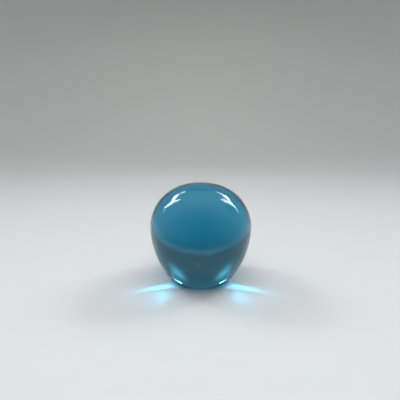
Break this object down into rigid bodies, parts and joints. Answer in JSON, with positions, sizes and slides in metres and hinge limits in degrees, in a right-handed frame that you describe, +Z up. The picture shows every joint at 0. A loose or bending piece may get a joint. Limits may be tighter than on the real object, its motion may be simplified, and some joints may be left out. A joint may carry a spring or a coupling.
{
  "type": "glass ball paperweight",
  "caption": "Solid blue glass ball paperweight with a slightly flattened crown, tapering flanks and a flat ground foot to stand on.",
  "frame": {"origin": "centre of the flat base that the ball stands on", "axes": "+Z up along the ball's axis of symmetry; X and Y are level"},
  "size_m": [0.076, 0.076, 0.074],
  "materials": {
    "blue_glass": "polished, transparent, tinted through its whole thickness"
  },
  "bodies": {
    "root": {"glass_ball": "blue_glass"}
  },
  "joints": []
}
